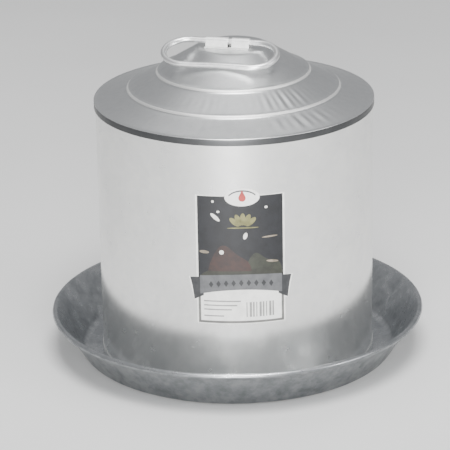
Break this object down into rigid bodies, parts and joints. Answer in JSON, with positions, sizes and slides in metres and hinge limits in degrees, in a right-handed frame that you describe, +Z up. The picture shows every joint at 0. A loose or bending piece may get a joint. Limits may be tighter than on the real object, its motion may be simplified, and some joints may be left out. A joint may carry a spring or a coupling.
{
  "type": "poultry waterer fount",
  "caption": "Double-wall galvanised poultry fount: a vacuum tank in a flared drinking pan, under a lift-off shell with a stepped cone lid and a wire handle.",
  "frame": {"origin": "centre of the pan's underside, on the surface that the fount stands on", "axes": "+Z up along the can's axis; the label faces -Y and the valve is at +Y; +X is to the right of a viewer who faces the label"},
  "size_m": [0.3212, 0.3212, 0.2783],
  "materials": {
    "galvanised_shell": "satin galvanised sheet, fine mottled spangle",
    "galvanised_lid": "satin galvanised pressing, slightly puckered",
    "galvanised_pan": "satin galvanised sheet, greyer",
    "zinc_wire": "bright zinc-plated wire and strap",
    "solder": "dull grey solder",
    "spring_steel": "plain spring steel",
    "brass": "plain brass",
    "rubber": "matt black rubber",
    "printed_label": null
  },
  "bodies": {
    "base": {"pan": "galvanised_pan", "pan_rim_wire": "zinc_wire", "tank_wall": "galvanised_pan", "tank_bottom": "galvanised_pan", "foot_solder": "solder", "tank_seam_solder": "solder", "lock_pins": "zinc_wire", "valve_seat": "brass", "valve_bracket": "galvanised_pan", "bracket_rivets": "zinc_wire", "valve_pin": "brass", "valve_spring": "spring_steel", "spring_rivets": "zinc_wire"},
    "shell": {"shell_wall": "galvanised_shell", "shell_lid": "galvanised_lid", "seam_sealant": "rubber", "shell_seam_solder": "solder", "label": "printed_label", "hinge_strap": "zinc_wire"},
    "handle": {"handle_bail": "zinc_wire"},
    "valve": {"valve_lever": "brass", "valve_pad": "rubber"}
  },
  "joints": [
    {"name": "shell_lift", "type": "slide", "parent": "base", "child": "shell", "axis": [0, 0, 1], "range_m": [0, 0.24]},
    {"name": "handle_swing", "type": "hinge", "parent": "shell", "child": "handle", "pos_m": [-0.004, -0.0065, 0.2748], "axis": [-0.9659, 0.2588, 0], "range_deg": [0, 150]},
    {"name": "valve_close", "type": "hinge", "parent": "base", "child": "valve", "pos_m": [0, 0.1175, 0.02], "axis": [-1, 0, 0], "range_deg": [0, 8]}
  ],
  "couplings": [
    {"joint": "valve_close", "follows": "shell_lift", "rad_per_m": 0.5745}
  ]
}
